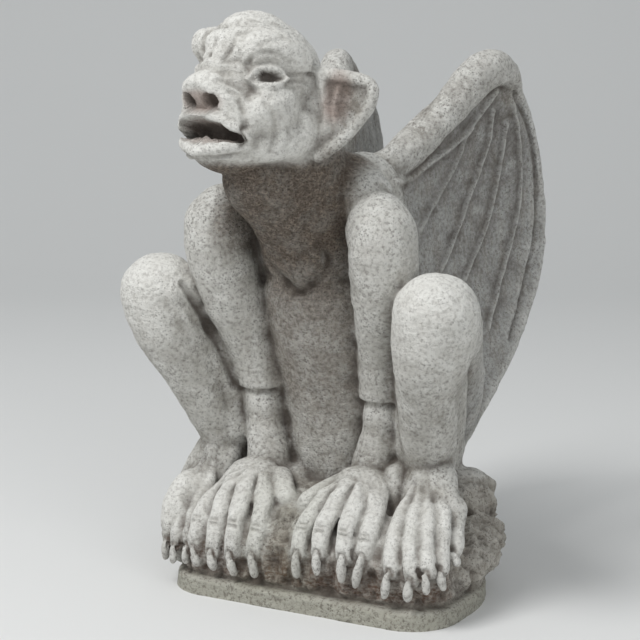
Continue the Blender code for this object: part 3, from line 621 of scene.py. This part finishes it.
def waves(points, size, seed, count=14):
    """Smooth lumps between about -2 and 2: count sine waves of random direction, their length about size,
    summed and divided by the square root of count."""
    chance = np.random.default_rng(seed)
    ways = unit(chance.normal(size=(count, 3))) * (2 * np.pi / size) * chance.uniform(0.6, 1.6, (count, 1))
    return np.sin(points @ ways.T + chance.uniform(0, 2 * np.pi, count)).sum(axis=1) / np.sqrt(count)


def ramp(values, start, end):
    """0 at start, 1 at end, straight between them and clipped beyond."""
    return np.clip((values - start) / (end - start), 0, 1)


at, normals = numbers(carved)
at = flattened(at, *nose_cut)
for centre, radii, towards in hollows:
    at = pressed(at, centre, radii, towards)
carved.vertices.foreach_set("co", at.astype(np.float32).ravel())
carved.update()
at, normals = numbers(carved)
for line, width, height in folds:
    at = stroke(at, normals, line, width, height)

rock_foot, rock_top = 11, 66
above = at[:, 2]
rock_part = (1 - closeness(at, figure_cloud)) * ramp(above, rock_top, rock_top - 8)
rock_part = rock_part * ramp(above, rock_foot, rock_foot + 3)
edge_part = ramp(above, 0, 3) * ramp(above, 11.5, 10)
ridges = 2.8 * (0.5 - np.abs(waves(at, 28, 1))) + 1.2 * (0.5 - np.abs(waves(at, 13, 2)))
ridges += 0.9 * (0.5 - np.abs(waves(at * (1, 1, 0.3), 5, 3)))
lumps = 0.25 * waves(at, 18, 4) + 0.1 * waves(at, 6, 5)
chips = 0.25 * waves(at, 13, 6) - 1.1 * np.maximum(waves(at, 11, 7) - 0.8, 0)
moved = rock_part * ridges + (1 - rock_part) * (1 - edge_part) * lumps + edge_part * chips
at = at + normals * moved[:, None]

# The foot stays flat, and the finished skin goes from millimetres about the figure to metres about the slab.
at[:, 2] = np.maximum(at[:, 2], -figure_place[2])
carved.vertices.foreach_set("co", ((at + figure_place) / 1000).astype(np.float32).ravel())
carved.update()

# Stone
# The real piece is one casting of sand and cement, weathered outdoors: worn pale on knees, hands and face,
# brown and pitted on neck and chest, bluish grey on the wing skins. Over this, shade is painted into the
# hollows, the eye sockets, the open mouth and under the jaw, and highlight onto the ridges. The skin is
# thinned first, most where it is plain, and holds a value for each of these at every point, which the one
# material reads.

most_triangles, sharp_angle = 199000, np.radians(65)
share = min(1.0, most_triangles / (2 * len(carved.polygons)))
gargoyle = bpy.data.objects.new("gargoyle_stone", evaluated(carved, [("DECIMATE", {"ratio": share})]))
bpy.context.scene.collection.objects.link(gargoyle)
gargoyle.data.shade_smooth()
gargoyle.data.set_sharp_from_angle(angle=sharp_angle)

at, normals = numbers(gargoyle.data)
at = at * 1000 - figure_place
pairs = np.empty(2 * len(gargoyle.data.edges), np.int32)
gargoyle.data.edges.foreach_get("vertices", pairs)
first, second = pairs.reshape(-1, 2).T
neighbours = np.bincount(pairs, minlength=len(at))


def spread(values, rounds):
    """Each vertex's value replaced by the mean of its neighbours' values, that many rounds."""
    for _ in range(rounds):
        total = np.bincount(first, values[second], len(at)) + np.bincount(second, values[first], len(at))
        values = total / neighbours
    return values


def bending(rounds):
    """How far each vertex lies below (+) or above (-) the smoothed skin around it, in millimetres."""
    smooth = np.stack([spread(at[:, axis], rounds) for axis in range(3)], -1)
    return ((smooth - at) * normals).sum(axis=1)


def within(points, centre, radii, edge, core):
    """1 in an ellipsoid's core and 0 beyond its edge: a ramp over the distance from its centre in radii."""
    return ramp(np.linalg.norm((points - centre) / radii, axis=1), edge, core)


left, rear, above = at.T
head_at = (at - head_centre) @ head_axes.T
forward, aside, up = head_at.T
skull = within(head_at, (12, 0, -6), 1, 58, 46)
# Masks of the eye sockets and the open mouth, where shade is painted.
eye_socket_shade = within(np.stack([forward, np.abs(aside), up], -1), (23, 26.5, 4.6), (7, 7, 4), 1.15, 0.8)
mouth_shade = within(head_at, (29, 0, -27.5), (10, 22, 5.5), 1.1, 0.8)

# Painted shade: narrow hollows, then broad ones, which count less on the skull behind the face, then the eye
# sockets and the open mouth.
hollow_shade = 0.6 * spread(ramp(bending(4), 0.02, 0.5), 1)
hollow_shade = hollow_shade + (0.6 - 0.45 * skull * ramp(forward, 34, 24)) * spread(ramp(bending(16), 0.1, 1.6), 3)
hollow_shade = hollow_shade + 0.7 * eye_socket_shade + 0.5 * mouth_shade
# Lighter on the ridges: partly wear, partly painted highlight.
wear_and_highlight = spread(ramp(-bending(10), 0.05, 0.9), 2) * (1 - eye_socket_shade)

# Brown stain under the jaw, down the neck and over the chest and belly, with painted shade under the jaw.
jaw_line = ramp(up + 0.18 * forward, -37, -41) * ramp(forward, -14, -4)
jaw_line = jaw_line + ramp(forward, -6, -12) * ramp(up, -20, -28)
throat_stain_and_shade = np.clip(jaw_line, 0, 1) * ramp(above, 196, 216) * ramp(np.abs(left + 4), 46, 34) * ramp(rear, 6, -8)
chest = ramp(above, 60, 120) * ramp(above, 250, 225) * ramp(np.abs(left), 34, 26) * ramp(rear, 12, -4)
belly = ramp(normals[:, 1], 0.1, -0.5) * chest * (0.45 + 0.55 * ramp(above, 150, 205))
brown_and_jaw_shade = np.clip(throat_stain_and_shade * (1 - ramp(up, -38, -34) * skull) + belly, 0, 1)

# The wings behind the back: first their arms, then the skins between.
wing_zone = ramp(rear, 36, 62) * ramp(above, 66, 84)
wing_arm = wing_zone * ramp(closeness(at, joined([wings[1], wings[4]])[0], 3.0), 0.02, 0.3)
membrane = wing_zone * (1 - wing_arm)

# Bare rock, dirt in it between the claws, pale knees, hands and head, ruddy ears, nose and lips, and moss low
# down.
rocky = spread((1 - closeness(at, figure_cloud)) * ramp(above, rock_top, rock_top - 8), 2)
dirty = spread(ramp(rear, -20, -36) * ramp(above, 48, 26) * ramp(above, 10.5, 14), 2)
dirty = dirty * np.maximum(ramp(hollow_shade, 0.1, 0.5), rocky)
knees = sum(within(at, (side * 91, -34, 177.5), (1, 1, 1.25), 36, 18) for side in (1, -1))
in_front = ramp(above, 86, 70) * ramp(above, 30, 40) * ramp(rear, -14, -26)
pale = np.clip(skull * (1 - brown_and_jaw_shade) + knees + in_front * (1 - rocky), 0, 1)
ruddy = within(np.abs(head_at), (7, 48, 3), (9, 10, 14), 1.1, 0.6) * ramp(forward, -1, -5)
ruddy = ruddy + within(head_at, (46, 0, -13), (10, 18, 7), 1.1, 0.7)
ruddy = ruddy + 0.8 * within(head_at, (34, 0, -29), (16, 24, 9), 1.05, 0.8)
mossy = 0.5 * ramp(above, 90, 62) * ramp(np.abs(left), 30, 20) * ramp(rear, -12, -24)
mossy = mossy + ramp(above, 13, 8)

for name, values in (
    ("hollow_shade", hollow_shade), ("wear_and_highlight", wear_and_highlight), ("brown_and_jaw_shade", brown_and_jaw_shade), ("membrane", membrane), ("rocky", rocky),
    ("dirty", dirty), ("pale", pale), ("ruddy", ruddy), ("mossy", mossy), ("wing_arm", wing_arm),
):
    layer = gargoyle.data.attributes.new(name, "FLOAT", "POINT")
    layer.data.foreach_set("value", np.clip(values, 0, 1).astype(np.float32))

material = bpy.data.materials.new("weathered_cast_stone")
material.use_nodes = True
nodes, wires = material.node_tree.nodes, material.node_tree.links
shader = nodes["Principled BSDF"]
coordinates = nodes.new("ShaderNodeTexCoord").outputs["Object"]


def layer_value(name):
    """The named value stored on the skin."""
    node = nodes.new("ShaderNodeAttribute")
    node.attribute_name = name
    return node.outputs["Fac"]


def textured(kind, size, vector=coordinates):
    """A texture node of the given kind, its features about size millimetres."""
    node = nodes.new(kind)
    node.inputs["Scale"].default_value = 1000 / size
    wires.new(vector, node.inputs["Vector"])
    return node


def noise(size, detail=3.0, roughness=0.55, stretch=(1, 1, 1)):
    """A noise of the given size in millimetres, 0 to 1, finer along an axis whose stretch is above 1."""
    mapping = nodes.new("ShaderNodeMapping")
    mapping.inputs["Scale"].default_value = stretch
    wires.new(coordinates, mapping.inputs["Vector"])
    node = textured("ShaderNodeTexNoise", size, mapping.outputs["Vector"])
    node.inputs["Detail"].default_value = detail
    node.inputs["Roughness"].default_value = roughness
    return node.outputs["Fac"]


def fit(value, low, high, start=0.0, end=1.0):
    """The value's range low..high brought to start..end, clipped."""
    node = nodes.new("ShaderNodeMapRange")
    for name, number in (("From Min", low), ("From Max", high), ("To Min", start), ("To Max", end)):
        node.inputs[name].default_value = number
    wires.new(value, node.inputs["Value"])
    return node.outputs["Result"]


def calc(operation, *values):
    """An arithmetic node on sockets or numbers."""
    node = nodes.new("ShaderNodeMath")
    node.operation = operation
    for socket, value in zip(node.inputs, values):
        if isinstance(value, (int, float)):
            socket.default_value = value
        else:
            wires.new(value, socket)
    return node.outputs[0]


def times(*values):
    """The product of two sockets or numbers."""
    return calc("MULTIPLY", *values)


def blend(factor, under, over):
    """A colour mixed over another one by a factor; colours are sockets or plain values."""
    node = nodes.new("ShaderNodeMix")
    node.data_type = "RGBA"
    wires.new(factor, node.inputs["Factor"])
    for socket, value in ((node.inputs[6], under), (node.inputs[7], over)):
        if isinstance(value, tuple):
            socket.default_value = (*value, 1)
        else:
            wires.new(value, socket)
    return node.outputs[2]


grain = fit(noise(1.1, 2.0), 0.36, 0.64)
specks = fit(noise(2.2, 4.0, 0.75), 0.38, 0.62)
patches = noise(13, 4.0, 0.65)
clouds = noise(45, 3.0)
pits = textured("ShaderNodeTexVoronoi", 1.7).outputs["Distance"]
streaks = fit(noise(2.4, 4.0, 0.7, (0.6, 0.6, 1.3)), 0.4, 0.6)
smudges = fit(noise(6, 5.0, 0.75), 0.52, 0.64)
washes = fit(noise(8, 4.0, 0.65, (1, 1, 0.22)), 0.5, 0.66)
stains = fit(noise(7, 4.0, 0.75), 0.46, 0.56, 0.0, 0.75)
hollow_shade_value, brown_and_jaw_shade_value = layer_value("hollow_shade"), layer_value("brown_and_jaw_shade")
rocky_value, pale_value = layer_value("rocky"), layer_value("pale")
pit_depth = times(fit(pits, 0.36, 0.1), fit(patches, 0.4, 0.58))
pit_depth = calc("MAXIMUM", pit_depth, times(fit(pits, 0.34, 0.18), brown_and_jaw_shade_value))
speck_amount = calc("MAXIMUM", fit(brown_and_jaw_shade_value, 0, 1, 0.55, 0.7), times(rocky_value, 0.6))
speck_amount = times(speck_amount, fit(pale_value, 0, 1, 1.0, 0.6))
# The brown layer's colour, which also stands for painted shade under the jaw.
brown_stone = blend(grain, (0.105, 0.076, 0.055), (0.36, 0.29, 0.225))
brown_stone = blend(fit(patches, 0.46, 0.64, 0.0, 0.6), brown_stone, (0.34, 0.315, 0.275))

# Layers over the grey stone, from the lowest to the highest: how much of each, and its colour.
colour = blend(fit(clouds, 0.38, 0.62), (0.30, 0.28, 0.24), (0.44, 0.425, 0.38))
for amount, layer_colour in (
    (fit(patches, 0.44, 0.6), (0.63, 0.62, 0.58)),
    (times(pale_value, fit(patches, 0.3, 0.6, 0.4, 0.85)), (0.68, 0.67, 0.63)),
    (times(layer_value("membrane"), 0.6), (0.29, 0.30, 0.305)),
    (times(smudges, fit(pale_value, 0, 1, 0.6, 0.35)), (0.21, 0.19, 0.155)),
    (times(washes, fit(pale_value, 0, 1, 0.45, 0.3)), (0.27, 0.24, 0.195)),
    (times(layer_value("wing_arm"), stains), (0.15, 0.125, 0.10)),
    # painted highlight on the ridges, partly real wear
    (times(layer_value("wear_and_highlight"), 0.65), (0.78, 0.77, 0.73)),
    (times(grain, 0.42), (0.82, 0.81, 0.77)),
    # brown stain, with painted shade under the jaw
    (times(brown_and_jaw_shade_value, fit(clouds, 0.25, 0.6, 0.8, 1.0)), brown_stone),
    (times(rocky_value, 0.5), (0.36, 0.32, 0.26)),
    (times(layer_value("ruddy"), 0.6), (0.28, 0.175, 0.14)),
    (times(layer_value("dirty"), fit(streaks, 1.0, 0.0, 0.35, 1.0)), (0.13, 0.072, 0.047)),
    (times(layer_value("mossy"), 0.3), (0.25, 0.27, 0.17)),
    (times(fit(specks, 0.5, 1.0), speck_amount), (0.09, 0.07, 0.053)),
    (times(fit(streaks, 0.4, 0.0), fit(brown_and_jaw_shade_value, 0, 1, 0.1, 0.5)), (0.06, 0.044, 0.033)),
    (times(pit_depth, fit(pale_value, 0, 1, 0.65, 0.25)), (0.07, 0.056, 0.043)),
    # painted shade in the hollows, the eye sockets and the open mouth
    (times(hollow_shade_value, 0.88), (0.075, 0.058, 0.046)),
):
    colour = blend(amount, colour, layer_colour)
wires.new(colour, shader.inputs["Base Color"])
wires.new(fit(patches, 0.3, 0.7, 0.86, 0.97), shader.inputs["Roughness"])

# Grain, patches and streaks stand out, specks and pits go in.
relief = calc("ADD", times(grain, 0.24), times(patches, 2.0))
relief = calc("SUBTRACT", relief, times(specks, fit(pale_value, 0, 1, 0.55, 0.3)))
relief = calc("SUBTRACT", relief, times(pit_depth, fit(brown_and_jaw_shade_value, 0, 1, 0.4, 0.7)))
relief = calc("ADD", relief, times(streaks, fit(brown_and_jaw_shade_value, 0, 1, 0.2, 1.1)))
bump = nodes.new("ShaderNodeBump")
bump.inputs["Strength"].default_value = 1.0
bump.inputs["Distance"].default_value = 0.0011
wires.new(relief, bump.inputs["Height"])
wires.new(bump.outputs["Normal"], shader.inputs["Normal"])
gargoyle.data.materials.append(material)
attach(gargoyle, "root")
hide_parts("gargoyle")

# Studio
# A plain pale floor that curves up behind, soft light from above and in front, and the camera at the
# photograph's angle, with the photograph's width in pixels and its focal length in them.

view_turn, view_rise, view_distance = np.radians(30.0), np.radians(9.0), 1.05
view_target = Vector((-0.0135, -0.012, 0.159))
picture_width, focal_length, sensor_width = 640, 1795, 36

sweep = np.radians(np.linspace(0, 90, 16))
profile = [(-3.0, 0.0)] + [(1.2 + 1.2 * np.sin(a), 1.2 - 1.2 * np.cos(a)) for a in sweep] + [(2.4, 6.0)]
toward = np.array([-np.sin(view_turn), np.cos(view_turn)])
across = np.array([toward[1], -toward[0]])
floor_points = [(*(toward * y + across * x), z) for y, z in profile for x in (-6.0, 6.0)]
floor_faces = [(k, k + 1, k + 3, k + 2) for k in range(0, 2 * len(profile) - 2, 2)]
floor_mesh = bpy.data.meshes.new("floor")
floor_mesh.from_pydata(floor_points, [], floor_faces)
floor_mesh.shade_smooth()
floor = bpy.data.objects.new("floor", floor_mesh)
bpy.context.scene.collection.objects.link(floor)
floor_material = bpy.data.materials.new("pale_floor")
floor_material.use_nodes = True
floor_shader = floor_material.node_tree.nodes["Principled BSDF"]
floor_shader.inputs["Base Color"].default_value = (0.72, 0.72, 0.71, 1)
floor_shader.inputs["Roughness"].default_value = 0.9
floor_mesh.materials.append(floor_material)

world = bpy.data.worlds.new("studio")
bpy.context.scene.world = world
world.use_nodes = True
sky = world.node_tree.nodes["Background"]
sky.inputs["Color"].default_value = (0.93, 0.97, 1.0, 1)
sky.inputs["Strength"].default_value = 0.48


def area_light(name, place, target, size, power):
    """A square area light at a place, turned to face a target."""
    light = bpy.data.objects.new(name, bpy.data.lights.new(name, "AREA"))
    light.data.size, light.data.energy = size, power
    light.location = place
    light.rotation_euler = (Vector(place) - Vector(target)).to_track_quat("Z", "Y").to_euler()
    bpy.context.scene.collection.objects.link(light)


area_light("key", (-0.5, -1.0, 1.6), (0, 0, 0.15), 0.8, 23)
area_light("fill", (1.4, -0.9, 0.9), (0, 0, 0.15), 1.2, 7)

bpy.context.scene.view_settings.view_transform = "Standard"
view_back = Vector((np.sin(view_turn) * np.cos(view_rise), -np.cos(view_turn) * np.cos(view_rise),
                    np.sin(view_rise)))
camera = bpy.data.objects.new("camera", bpy.data.cameras.new("camera"))
camera.data.sensor_width = sensor_width
camera.data.lens = focal_length * sensor_width / picture_width
camera.location = view_target + view_back * view_distance
camera.rotation_euler = view_back.to_track_quat("Z", "Y").to_euler()
bpy.context.scene.collection.objects.link(camera)
bpy.context.scene.camera = camera
